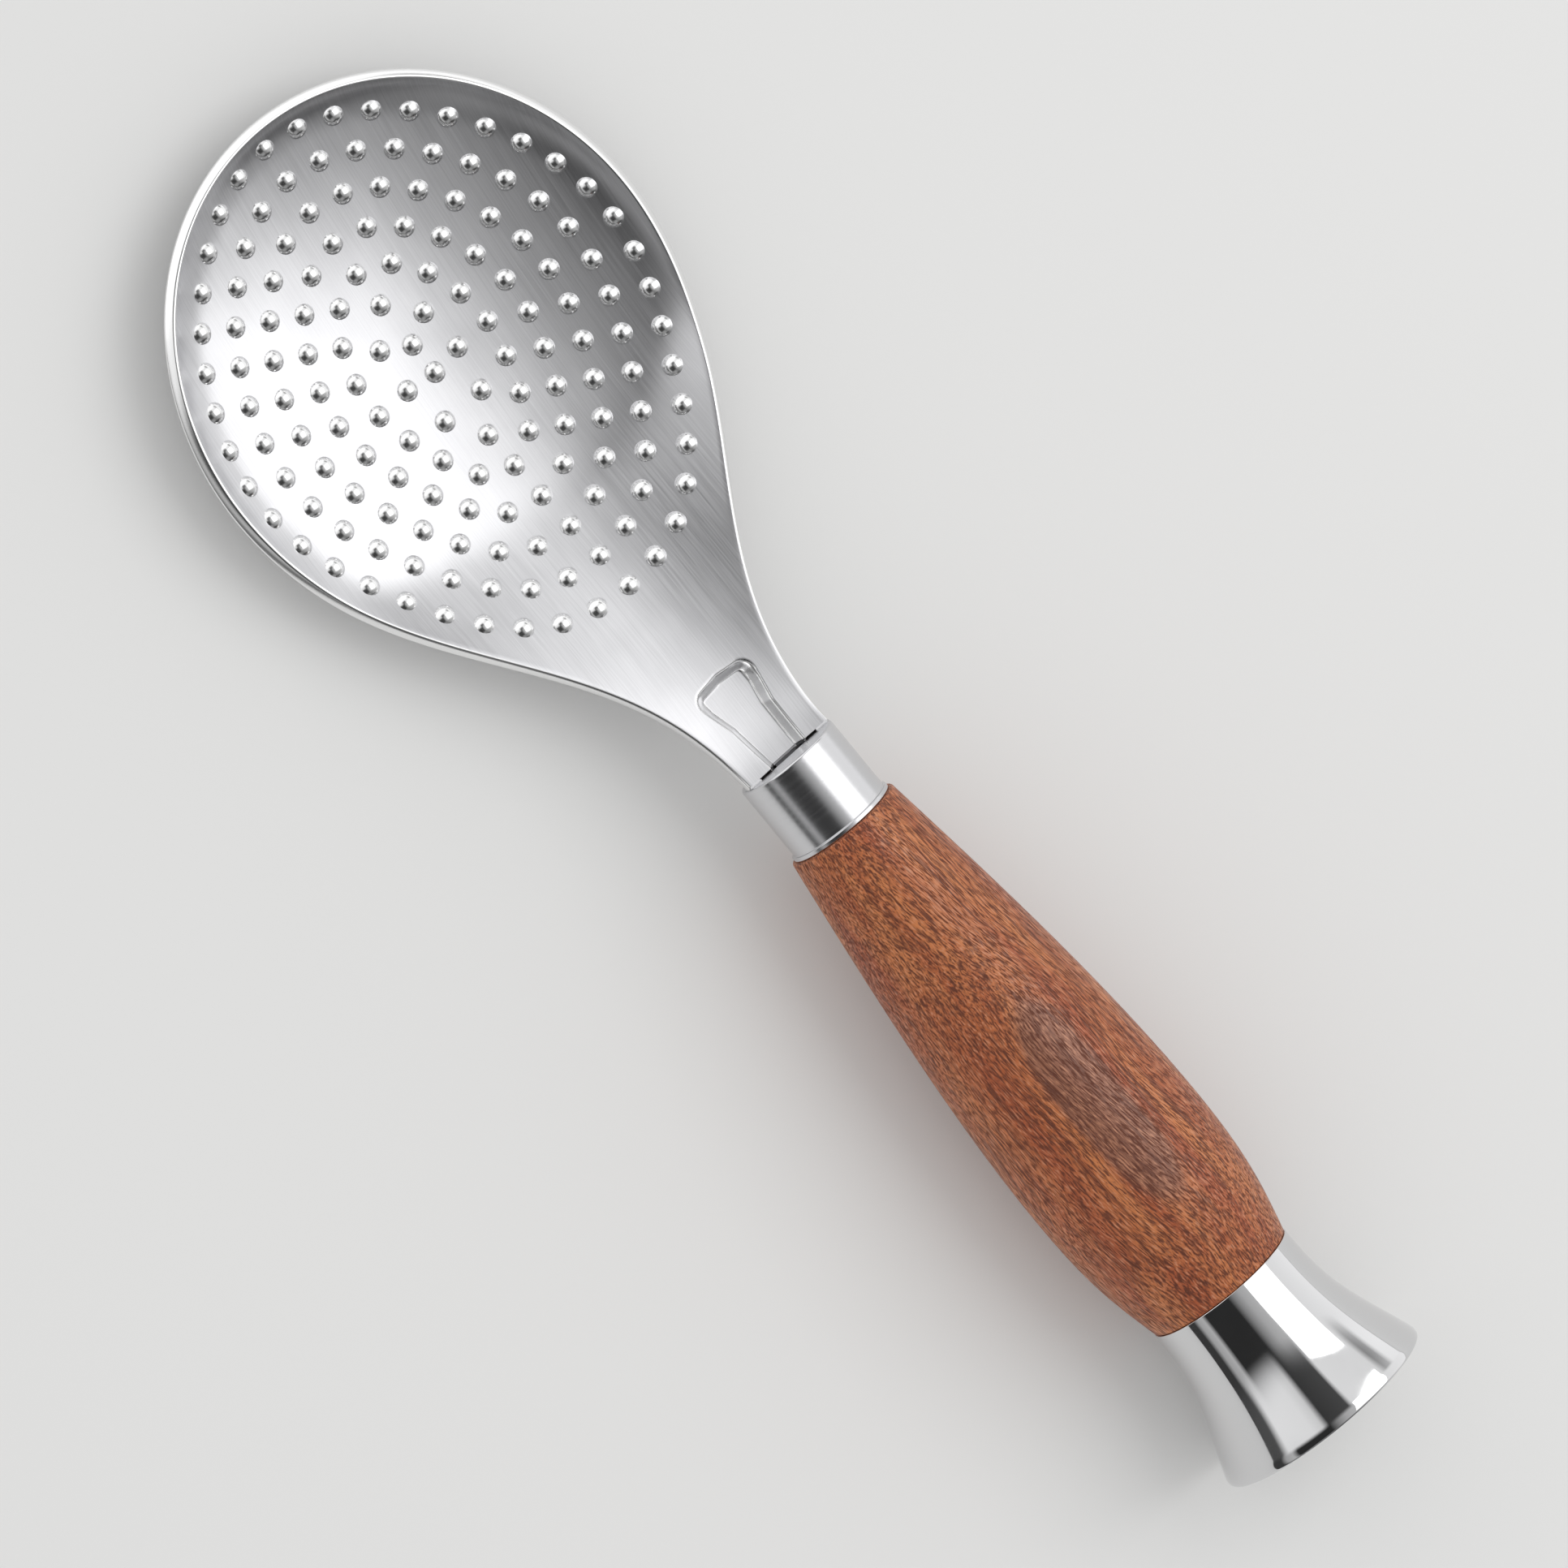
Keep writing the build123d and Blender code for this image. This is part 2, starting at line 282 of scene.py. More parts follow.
def rounded(points, radii, steps=6):
    """A run of lines whose corners are rounded, with a point close to each end of every rounding."""
    path = [Vector(points[0])]
    for before, corner, after, radius in zip(points, points[1:], points[2:], radii):
        before, corner, after = Vector(before), Vector(corner), Vector(after)
        if not radius:
            path.append(corner)
            continue
        back, ahead = (before - corner).normalized(), (after - corner).normalized()
        half = back.angle(ahead) / 2
        setback = radius / tan(half)
        middle = corner + (back + ahead).normalized() * radius / sin(half)
        first, last = corner + back * setback, corner + ahead * setback
        sweep = (first - middle).angle_signed(last - middle)
        path.append(first + back * radius / 4)
        for k in range(steps + 1):
            arm = (first - middle).copy()
            arm.rotate(Matrix.Rotation(-sweep * k / steps, 2))
            path.append(middle + arm)
        path.append(last + ahead * radius / 4)
    return [tuple(point) for point in path] + [tuple(points[-1])]


def blade_outline():
    """Half of the blade's plan, from the collar round to the tip: lengths, places and outward normals."""
    neck = [(0, neck_half_width)]
    neck += [(bowl_centre * x, bowl_half_width * y) for x, y in neck_outline_shares]
    neck = smooth_curve(neck + [(bowl_centre, bowl_half_width)], tangents=[(1, 0), (1, 0)])
    angles = np.radians(np.linspace(90, 0, 181))[1:]
    tip = np.stack([bowl_centre + bowl_tip_reach * np.cos(angles), bowl_half_width * np.sin(angles)], axis=1)
    places = np.concatenate([neck, tip])
    runs = np.gradient(places, axis=0)
    runs[-1] = 0, -1
    normals = np.stack([-runs[:, 1], runs[:, 0]], axis=1) / np.linalg.norm(runs, axis=1, keepdims=True)
    lengths = np.concatenate([[0], np.cumsum(np.linalg.norm(np.diff(places, axis=0), axis=1))])
    return lengths, places, normals


def blade_plan(column, row):
    """Plan place of each point of the blade's grid, whose outermost rows follow the rim."""
    lengths, places, normals = blade_outline()
    corner = np.interp(bowl_centre + bowl_tip_reach * cos(radians(corner_angle)), places[:, 0], lengths)
    stations = np.concatenate([
        np.linspace(0, neck_run, neck_columns, endpoint=False),
        np.linspace(neck_run, corner, columns - neck_columns),
    ])

    def on_outline(length, inset, side):
        x, y, out_x, out_y = [np.interp(length, lengths, each) for each in (*places.T, *normals.T)]
        return np.stack([x - inset * out_x, (y - inset * out_y) * side], axis=-1)

    inner_column, inner_row = np.minimum(column, columns - 1), np.clip(row, 1, rows - 1)
    along = stations[inner_column] / corner
    across = (inner_row - 1) / (rows - 2)
    half = np.abs(2 * across - 1)
    side = np.where(row * 2 < rows, -1, 1)
    tip_length = corner + (lengths[-1] - corner) * (1 - half)

    def blend(inset):
        ends = on_outline(0 * along, inset, 1)
        corners = on_outline(0 * along + corner, inset, 1)
        low, high = on_outline(along * corner, inset, -1), on_outline(along * corner, inset, 1)
        neck_end = np.stack([0 * along, (2 * across - 1) * ends[:, 1]], axis=1)
        tip_end = on_outline(tip_length, inset, side)
        a, b = along[:, None], across[:, None]
        flipped = np.array([1, -1])
        behind = (1 - b) * ends * flipped + b * ends
        ahead = (1 - b) * corners * flipped + b * corners
        bilinear = (1 - a) * behind + a * ahead
        return (1 - a) * neck_end + a * tip_end + (1 - b) * low + b * high - bilinear

    plan = blend(rim_row)
    on_side, on_tip = (row == 0) | (row == rows), column == columns
    notch = rim_row / 4
    side_length = np.minimum(stations[inner_column], corner - notch)
    plan[on_side] = on_outline(side_length, 0, side)[on_side]
    tip_place = on_outline(np.maximum(tip_length, corner + notch), 0, side)
    plan[on_tip] = tip_place[on_tip]
    corners = on_side & on_tip
    plan[corners] = on_outline(0 * along + corner, 0, side)[corners]
    return plan


def dot_places():
    """Plan places of the raised dots, evenly spaced along each ring from the tip to the neck."""
    places = []
    for ring, count in enumerate(ring_counts):
        inset = ring * ring_step
        wide, ahead, behind = ring_half_width - inset, ring_tip_reach - inset, ring_neck_reach - inset
        points = [(bowl_centre + ahead, 0), (bowl_centre, wide)]
        points += [(bowl_centre - behind * x, wide * y) for x, y in ring_neck_shares]
        half = smooth_curve(points + [(bowl_centre - behind, 0)], tangents=[(0, 1), (0, -1)])
        lengths = np.concatenate([[0], np.cumsum(np.linalg.norm(np.diff(half, axis=0), axis=1))])
        for step in range(count // 2 + 1):
            x, y = [np.interp(lengths[-1] * 2 * step / count, lengths, each) for each in half.T]
            places.append((x, y))
            if 0 < step < count // 2:
                places.append((x, -y))
    middle = bowl_centre - middle_pair_setback
    return places + [(middle - middle_pair_gap / 2, 0), (middle + middle_pair_gap / 2, 0)]


def channel_distance(reach, side):
    """How far each place lies inside the channel's outline, negative outside it."""
    outline = np.array(rounded(channel_outline, [0, 0, channel_corner], steps=8))
    points = np.stack([reach, np.abs(side)], axis=1)
    distance = np.full(len(points), np.inf)
    for first, last in zip(outline, outline[1:]):
        run = last - first
        share = np.clip((points - first) @ run / (run @ run), 0, 1)
        distance = np.minimum(distance, np.linalg.norm(points - first - share[:, None] * run, axis=1))
    widest = outline[:, 1].argmax()
    half = np.interp(reach, outline[:widest + 1, 0], outline[:widest + 1, 1])
    reach_limit = np.interp(np.abs(side), outline[widest:, 1][::-1], outline[widest:, 0][::-1])
    inside = (np.abs(side) < half) & (reach < reach_limit)
    return np.where(inside, distance, -distance)


# Modelling


def deselect():
    """Leaves edit mode and deselects everything."""
    if bpy.context.object and bpy.context.object.mode != "OBJECT":
        bpy.ops.object.mode_set(mode="OBJECT")
    bpy.ops.object.select_all(action="DESELECT")


def name_new(name):
    """Names the object that was just added, and its mesh."""
    piece = bpy.context.object
    piece.name = piece.data.name = name
    return piece


def read_points(mesh):
    """The mesh's points in metres, one row each."""
    points = np.zeros(len(mesh.vertices) * 3)
    mesh.vertices.foreach_get("co", points)
    return points.reshape(-1, 3)


def read_normals(mesh):
    """The mesh's point normals, one row each."""
    normals = np.zeros(len(mesh.vertices) * 3)
    mesh.vertices.foreach_get("normal", normals)
    return normals.reshape(-1, 3)


def write_points(mesh, points):
    """Moves the mesh's points."""
    mesh.vertices.foreach_set("co", points.ravel())
    mesh.update()


def apply_modifier(piece, kind, **settings):
    """Adds a modifier with its settings and applies it."""
    modifier = piece.modifiers.new(kind.lower(), kind)
    for setting, value in settings.items():
        setattr(modifier, setting, value)
    bpy.context.view_layer.objects.active = piece
    bpy.ops.object.modifier_apply(modifier=modifier.name)


def smooth_by_angle(piece, degrees):
    """Shades a piece smooth, with sharp edges where its faces meet at more than an angle."""
    deselect()
    piece.select_set(True)
    bpy.context.view_layer.objects.active = piece
    bpy.ops.object.shade_smooth_by_angle(angle=radians(degrees))


def turn(name, profile):
    """Turns a profile of reaches behind the collar's front face and radii about the handle's axis."""
    path = [Vector((front - reach, 0, axis_height + radius)) * MM for reach, radius in profile]
    deselect()
    bpy.ops.mesh.primitive_plane_add(size=MM, location=path[0])
    piece = name_new(name)
    bpy.ops.object.mode_set(mode="EDIT")
    bpy.ops.mesh.select_mode(type="VERT")
    bpy.ops.mesh.select_all(action="SELECT")
    bpy.ops.mesh.merge(type="CENTER")
    for before, after in zip(path, path[1:]):
        bpy.ops.mesh.extrude_region_move(TRANSFORM_OT_translate={"value": after - before})
    bpy.ops.mesh.select_all(action="SELECT")
    middle = (front * MM, 0, axis_height * MM)
    bpy.ops.mesh.spin(steps=turn_steps, angle=2 * pi, center=middle, axis=(1, 0, 0))
    bpy.ops.mesh.select_all(action="SELECT")
    bpy.ops.mesh.remove_doubles(threshold=MM / 500)
    bpy.ops.mesh.normals_make_consistent(inside=False)
    bpy.ops.object.mode_set(mode="OBJECT")
    bpy.ops.object.transform_apply(location=True, rotation=True, scale=True)
    return piece


def cut_tab_slot(piece, length, gap):
    """Cuts the slot for the blade's tab into a turned piece, to a length behind the collar's front face."""
    tab_top = float(top_height(0, 0))
    deselect()
    height = tab_depth + 2 * gap
    middle = Vector((front - length / 2, 0, axis_height + tab_top + gap - height / 2)) * MM
    bpy.ops.mesh.primitive_cube_add(size=1, location=middle)
    cutter = name_new("tab_slot")
    cutter.scale = Vector((length + 2 * collar_face, 2 * (tab_half + gap), height)) * MM
    bpy.ops.object.transform_apply(location=True, rotation=True, scale=True)
    for vertex in cutter.data.vertices:
        if vertex.co.z < middle.z:
            vertex.co.y *= 1 - tab_depth * tan(radians(tab_taper)) / tab_half
    apply_modifier(piece, "BOOLEAN", object=cutter, operation="DIFFERENCE", solver="EXACT")
    bpy.data.objects.remove(cutter)


def place(piece, node, slot, material):
    """Hands a finished piece over: its material, its body and the node that it stands for."""
    piece.data.materials.clear()
    piece.data.materials.append(material)
    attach(piece, "root")
    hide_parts(node)


def ball_caps(name, radius, height, drop, steps, rings):
    """One ball cap at each dot, rising by its height over a level that lies a drop below the upper face."""
    ball = (radius**2 + height**2) / (2 * height)
    deselect()
    bpy.ops.mesh.primitive_uv_sphere_add(segments=steps, ring_count=rings, radius=ball * MM)
    first = name_new(name)
    bpy.ops.object.mode_set(mode="EDIT")
    bpy.ops.mesh.select_all(action="SELECT")
    level = (0, 0, (ball - height - dot_sunk) * MM)
    bpy.ops.mesh.bisect(plane_co=level, plane_no=(0, 0, 1), use_fill=True, clear_inner=True)
    bpy.ops.object.mode_set(mode="OBJECT")
    caps = []
    for x, y in dot_places():
        normal = Vector(sheet_normals(np.array([x]), np.array([y]))[0])
        foot = Vector((front + x, y, axis_height + float(top_height(x, y))))
        turned = normal.to_track_quat("Z", "Y").to_matrix().to_4x4()
        bpy.ops.object.select_all(action="DESELECT")
        first.select_set(True)
        bpy.context.view_layer.objects.active = first
        bpy.ops.object.duplicate()
        caps.append(bpy.context.object)
        caps[-1].matrix_world = Matrix.Translation((foot + normal * (height - ball - drop)) * MM) @ turned
    bpy.data.objects.remove(first)
    for each in caps:
        each.select_set(True)
    bpy.ops.object.join()
    bpy.ops.object.transform_apply(location=True, rotation=True, scale=True)
    return name_new(name)


class BuildBlade(bpy.types.Operator):
    """Presses the steel blade: its hollow, rim, channel, raised dots and tab"""

    bl_idname = "rice_paddle.blade"
    bl_label = "Blade"

    def execute(self, context):
        sizes = context.scene.paddle_sizes
        deselect()
        bpy.ops.mesh.primitive_grid_add(x_subdivisions=columns, y_subdivisions=rows, size=2)
        piece = name_new("blade_pressed")
        flat = read_points(piece.data)
        column = np.rint((flat[:, 0] + 1) / 2 * columns).astype(int)
        row = np.rint((flat[:, 1] + 1) / 2 * rows).astype(int)
        plan = blade_plan(column, row)
        heights = axis_height + top_height(plan[:, 0], plan[:, 1])
        write_points(piece.data, np.column_stack([front + plan[:, 0], plan[:, 1], heights]) * MM)
        apply_modifier(piece, "SOLIDIFY", thickness=sheet * MM, offset=-1, use_even_offset=True)
        self.square_neck(piece)
        self.round_rim(piece, sizes.rim_round)
        self.draw_tab(piece)
        self.refine_neck(piece)
        self.press_channel(piece, sizes.channel_depth / MM)
        self.press_dots(piece, sizes.dot_radius / MM, sizes.dot_height / MM)
        self.mark_polish(piece, sizes.dot_radius / MM)
        smooth_by_angle(piece, blade_crease)
        place(piece, "blade", "satin_steel", brushed_stainless(context.scene.paddle_finish))
        return {"FINISHED"}

    def square_neck(self, piece):
        """Brings the neck's lower edge under its upper one, against the collar's face."""
        points = read_points(piece.data) / MM
        low = points[:, 0] < front - sheet / 100
        normals = sheet_normals(0 * points[low, 1], points[low, 1])
        points[low, 0] = front
        points[low, 2] = axis_height + top_height(0, points[low, 1]) - sheet / normals[:, 2]
        write_points(piece.data, points * MM)

    def round_rim(self, piece, radius):
        """Rounds both edges of the rim, all the way round to the collar."""
        bpy.ops.object.mode_set(mode="EDIT")
        bpy.ops.mesh.select_all(action="DESELECT")
        bpy.ops.mesh.select_mode(type="EDGE")
        mesh = bmesh.from_edit_mesh(piece.data)
        neck_end = (front + sheet / 100) * MM
        for edge in mesh.edges:
            at_neck = all(vertex.co.x < neck_end for vertex in edge.verts)
            edge.select_set(not at_neck and edge.calc_face_angle(0) > radians(rim_edge_angle))
        bmesh.update_edit_mesh(piece.data)
        bpy.ops.mesh.bevel(
            offset=radius, offset_type="OFFSET", segments=4, affect="EDGES", clamp_overlap=False
        )
        bpy.ops.object.mode_set(mode="OBJECT")

    def draw_tab(self, piece):
        """Extrudes the middle of the neck's end face back into the handle."""
        bpy.ops.object.mode_set(mode="EDIT")
        bpy.ops.mesh.select_all(action="DESELECT")
        bpy.ops.mesh.select_mode(type="FACE")
        mesh = bmesh.from_edit_mesh(piece.data)
        for face in mesh.faces:
            middle = face.calc_center_median() / MM
            at_end = face.normal.x < -facing_limit and middle.x < front + surface_slack / 2
            face.select_set(at_end and abs(middle.y) < tab_half)
        bmesh.update_edit_mesh(piece.data)
        bpy.ops.mesh.extrude_region_move(TRANSFORM_OT_translate={"value": (-tab_length * MM, 0, 0)})
        bpy.ops.object.mode_set(mode="OBJECT")

    def refine_neck(self, piece):
        """Halves the cells of the neck's upper face, where the channel has its tight bends."""
        bpy.ops.object.mode_set(mode="EDIT")
        bpy.ops.mesh.select_all(action="DESELECT")
        mesh = bmesh.from_edit_mesh(piece.data)
        for face in mesh.faces:
            middle = face.calc_center_median() / MM
            on_neck = 0 < middle.x - front < neck_run and abs(middle.y) < neck_half_width - 2 * rim_row
            face.select_set(on_neck and face.normal.z > 0.5)
        bmesh.update_edit_mesh(piece.data)
        bpy.ops.mesh.subdivide(number_cuts=1)
        bpy.ops.object.mode_set(mode="OBJECT")

    def press_channel(self, piece, depth):
        """Presses the channel into the neck and the tab, and eases the neck's end at the collar."""
        points = read_points(piece.data) / MM
        reach, side = points[:, 0] - front, points[:, 1]
        facing = np.einsum("ij,ij->i", read_normals(piece.data), sheet_normals(np.maximum(reach, 0), side))
        distance = channel_distance(reach, side) + np.where(facing < 0, sheet, 0)
        end_share = np.clip((reach - channel_end_start) / channel_end_run, 0, 1)
        wall = channel_side_wall + (channel_end_wall - channel_side_wall) * end_share
        share = np.clip(distance / wall, 0, 1)
        points[:, 2] -= depth * share**2 * (3 - 2 * share)
        points[:, 2] -= end_easing * (facing > 0) * np.clip(1 - reach / end_easing, 0, 1)
        write_points(piece.data, points * MM)

    def press_dots(self, piece, radius, height):
        """Raises a dome at each dot, and sinks the pit that its punch left underneath."""
        domes = ball_caps("domes", radius, height, 0, dot_steps, dot_rings)
        apply_modifier(piece, "BOOLEAN", object=domes, operation="UNION", solver="EXACT")
        pits = ball_caps("pits", pit_radius, pit_depth, sheet, pit_steps, pit_rings)
        apply_modifier(piece, "BOOLEAN", object=pits, operation="DIFFERENCE", solver="EXACT")
        for tool in (domes, pits):
            bpy.data.objects.remove(tool)

    def mark_polish(self, piece, radius):
        """Marks the faces of the domes, the pits, the rim and the channel's walls, which are polished."""
        faces = piece.data.polygons
        middles, normals = np.zeros(len(faces) * 3), np.zeros(len(faces) * 3)
        faces.foreach_get("center", middles)
        faces.foreach_get("normal", normals)
        middles, normals = middles.reshape(-1, 3) / MM, normals.reshape(-1, 3)
        reach, side = middles[:, 0] - front, middles[:, 1]
        sheet_facing = sheet_normals(np.maximum(reach, 0), side)
        lift = (middles[:, 2] - axis_height - top_height(reach, side)) * sheet_facing[:, 2]
        off_sheet = (np.abs(lift) > surface_slack) & (np.abs(lift + sheet) > surface_slack)
        polish = (np.abs(np.einsum("ij,ij->i", normals, sheet_facing)) < facing_limit) & (reach > 0)
        for x, y in dot_places():
            polish |= off_sheet & (np.hypot(reach - x, side - y) < dot_margin * radius)
        attribute = piece.data.attributes.new("polish", "FLOAT", "FACE")
        attribute.data.foreach_set("value", polish.astype(float))


class TurnCollar(bpy.types.Operator):
    """Turns the steel collar between the blade and the wood"""

    bl_idname = "rice_paddle.collar"
    bl_label = "Collar"

    def execute(self, context):
        bore = collar_radius - collar_wall
        lip = collar_radius + lip_height
        corners = [
            (0, 0), (0, collar_radius), (collar_length - lip_length, collar_radius),
            (collar_length - lip_length, lip), (collar_length, lip), (collar_length, bore),
            (collar_face, bore), (collar_face, 0),
        ]
        radii = [collar_round, lip_foot_round, lip_shoulder_round, lip_round, bore_round, bore_round]
        profile = rounded(corners, radii)
        piece = turn("collar_turned", profile)
        cut_tab_slot(piece, 2 * collar_face, spigot_gap)
        smooth_by_angle(piece, turned_crease)
        place(piece, "collar", "polished_steel", turned_stainless())
        return {"FINISHED"}


class TurnGrip(bpy.types.Operator):
    """Turns the wooden grip with its spigots and bore"""

    bl_idname = "rice_paddle.grip"
    bl_label = "Grip"

    def execute(self, context):
        curve = smooth_curve(grip_outline, steps=12)
        start, end = curve[0], curve[-1]
        grip_end = collar_length + grip_length
        front_radius = collar_radius - collar_wall - spigot_gap
        back_radius = cap_mouth_radius - cap_wall - spigot_gap
        second = (collar_length + curve[1][0], curve[1][1])
        last_but_one = (collar_length + curve[-2][0], curve[-2][1])
        head = rounded([(collar_length, front_radius), (collar_length, start[1]), second], [grip_round])
        tail = rounded([last_but_one, (grip_end, end[1]), (grip_end, back_radius)], [grip_round])
        profile = [(collar_length - front_spigot, bore_radius), (collar_length - front_spigot, front_radius)]
        profile += head[:-1]
        profile += [(collar_length + reach, radius) for reach, radius in curve[1:-1]]
        profile += tail[1:]
        profile += [(grip_end + back_spigot, back_radius), (grip_end + back_spigot, bore_radius)]
        profile += [(collar_length - front_spigot, bore_radius)]
        piece = turn("grip_turned", profile)
        cut_tab_slot(piece, tab_length + spigot_gap, spigot_gap)
        smooth_by_angle(piece, turned_crease)
        place(piece, "handle_grip", "oiled_wood", oiled_rosewood(context.scene.paddle_finish))
        return {"FINISHED"}


class TurnCap(bpy.types.Operator):
    """Turns the flared steel cap at the tail"""

    bl_idname = "rice_paddle.cap"
    bl_label = "Tail cap"

    def flare(self, inset):
        """The cap's flared wall from its mouth to its end band, drawn so far inside its outer face."""
        start = collar_length + grip_length
        slope = radians(cap_flare)
        points = [(start, cap_mouth_radius), (start + cap_waist[0], cap_waist[1])]
        points += [(start + cap_length - cap_band, cap_rim_radius)]
        curve = smooth_curve(points, tangents=[(1, 0), (cos(slope), sin(slope))], steps=18)
        return [(reach, radius - inset) for reach, radius in curve]

    def execute(self, context):
        end = collar_length + grip_length + cap_length
        outside, inside = self.flare(0), self.flare(cap_wall)
        rim = rounded([outside[-1], (end, cap_rim_radius), (end, 0)], [cap_round])
        mouth = rounded([outside[1], outside[0], inside[0], inside[1]], [mouth_round, mouth_round])
        profile = outside[1:-1] + rim + [(inside[-1][0], 0)] + inside[:0:-1] + mouth[::-1][1:]
        piece = turn("tail_cap_turned", profile)
        smooth_by_angle(piece, turned_crease)
        place(piece, "tail_cap", "mirror_steel", mirror_stainless())
        return {"FINISHED"}


class FinishFasteners(bpy.types.Operator):
    """Gives the hidden tang, its washer and its nut their plain steel"""

    bl_idname = "rice_paddle.fasteners"
    bl_label = "Tang and nut"

    def execute(self, context):
        material = plain_steel()
        for name in ("tang", "tang_washer", "tang_nut"):
            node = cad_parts[name]
            node.data.materials.clear()
            node.data.materials.append(material)
        return {"FINISHED"}


# Materials

# Sizes of the marks on the steel in millimetres, along the handle's axis, across it and upwards. The
# belt's lines and the lathe's rings are finer in life, and are as coarse here as they need to be to show.
belt_line_size = (16, 0.16, 4)
belt_line_turn = 5
belt_line_depth = 0.03
belt_cloud_size = (14, 9, 9)
lathe_ring_size = (0.2, 60, 60)
lathe_ring_depth = 0.02
handling_mark_size = (5, 5, 5)
tool_mark_size = (0.4, 3, 3)

# Levels of the patterns from which and up to which a surface changes, and its roughness at both
noise_levels = (0.3, 0.7)
tone_levels = (0.75, 1.25)
handling_mark_levels = (0.45, 0.8)
brushed_spread = 0.03
collar_roughness = (0.2, 0.26)
cap_roughness = (0.035, 0.1)
plain_roughness = (0.3, 0.5)


def add_node(tree, kind, inputs=None, **settings):
    """Adds a node with its settings. An input is a value, or another node's output to link from."""
    node = tree.nodes.new(kind)
    for setting, value in settings.items():
        setattr(node, setting, value)
    for socket, value in (inputs or {}).items():
        if isinstance(value, bpy.types.NodeSocket):
            tree.links.new(value, node.inputs[socket])
        else:
            node.inputs[socket].default_value = value
    return node


def new_material(name):
    """An empty node material and its output node."""
    material = bpy.data.materials.new(name)
    material.use_nodes = True
    material.node_tree.nodes.clear()
    return material, add_node(material.node_tree, "ShaderNodeOutputMaterial")


def stretched(tree, lengths, turned=0.0, start=None):
    """Object coordinates scaled so that a pattern of size 1 has these lengths in millimetres."""
    start = start or add_node(tree, "ShaderNodeTexCoord").outputs["Object"]
    mapped = add_node(tree, "ShaderNodeMapping", {0: start, "Rotation": (0, 0, radians(turned))})
    scaled = add_node(tree, "ShaderNodeMapping", {
        0: mapped.outputs[0], "Scale": [1 / (each * MM) for each in lengths],
    })
    return scaled.outputs[0]


def brushed_stainless(finish):
    """Stainless sheet, belt-brushed along its length and polished on the rim and the pressed dots."""
    material, output = new_material("brushed_stainless_sheet")
    tree = material.node_tree
    # Long fine belt lines, which streak the soft highlight.
    lines = add_node(tree, "ShaderNodeTexNoise", {
        "Vector": stretched(tree, belt_line_size, turned=belt_line_turn),
        "Scale": 1, "Detail": 2, "Roughness": 0.6,
    })
    # Slow changes of the belt's pressure, which cloud the reflection a little.
    clouds = add_node(tree, "ShaderNodeTexNoise", {
        "Vector": stretched(tree, belt_cloud_size), "Scale": 1, "Detail": 2,
    })
    polish = add_node(tree, "ShaderNodeAttribute", attribute_name="polish").outputs["Fac"]
    rough = add_node(tree, "ShaderNodeMapRange", {
        "Value": lines.outputs["Fac"], "From Min": noise_levels[0], "From Max": noise_levels[1],
        "To Min": finish.brushed_roughness - brushed_spread,
        "To Max": finish.brushed_roughness + brushed_spread,
    })
    rough = add_node(tree, "ShaderNodeMix", {
        0: polish, 2: rough.outputs[0], 3: finish.polished_roughness,
    }, data_type="FLOAT")
    tone = add_node(tree, "ShaderNodeMath", {
        0: lines.outputs["Fac"], 1: clouds.outputs["Fac"],
    }, operation="ADD")
    tone = add_node(tree, "ShaderNodeMapRange", {
        "Value": tone.outputs[0], "From Min": tone_levels[0], "From Max": tone_levels[1],
    })
    colour = add_node(tree, "ShaderNodeMix", {
        0: tone.outputs[0], 6: linear_colour("#C9C9CB"), 7: linear_colour("#DADADC"),
    }, data_type="RGBA")
    colour = add_node(tree, "ShaderNodeMix", {
        0: polish, 6: colour.outputs[2], 7: linear_colour("#F1F1F1"),
    }, data_type="RGBA")
    strength = add_node(tree, "ShaderNodeMath", {0: 0.12, 1: polish}, operation="SUBTRACT", use_clamp=True)
    bump = add_node(tree, "ShaderNodeBump", {
        "Height": lines.outputs["Fac"], "Strength": strength.outputs[0], "Distance": belt_line_depth * MM,
    })
    shader = add_node(tree, "ShaderNodeBsdfPrincipled", {
        "Base Color": colour.outputs[2], "Metallic": 1.0, "Roughness": rough.outputs[0],
        "Normal": bump.outputs[0],
    })
    tree.links.new(shader.outputs[0], output.inputs[0])
    return material


def turned_stainless():
    """Stainless tube turned on a lathe and buffed: faint rings round it and a clear but soft reflection."""
    material, output = new_material("turned_stainless_collar")
    tree = material.node_tree
    rings = add_node(tree, "ShaderNodeTexNoise", {
        "Vector": stretched(tree, lathe_ring_size), "Scale": 1, "Detail": 1,
    })
    rough = add_node(tree, "ShaderNodeMapRange", {
        "Value": rings.outputs["Fac"], "From Min": noise_levels[0], "From Max": noise_levels[1],
        "To Min": collar_roughness[0], "To Max": collar_roughness[1],
    })
    bump = add_node(tree, "ShaderNodeBump", {
        "Height": rings.outputs["Fac"], "Strength": 0.03, "Distance": lathe_ring_depth * MM,
    })
    shader = add_node(tree, "ShaderNodeBsdfPrincipled", {
        "Base Color": linear_colour("#D4D4D6"), "Metallic": 1.0, "Roughness": rough.outputs[0],
        "Normal": bump.outputs[0],
    })
    tree.links.new(shader.outputs[0], output.inputs[0])
    return material


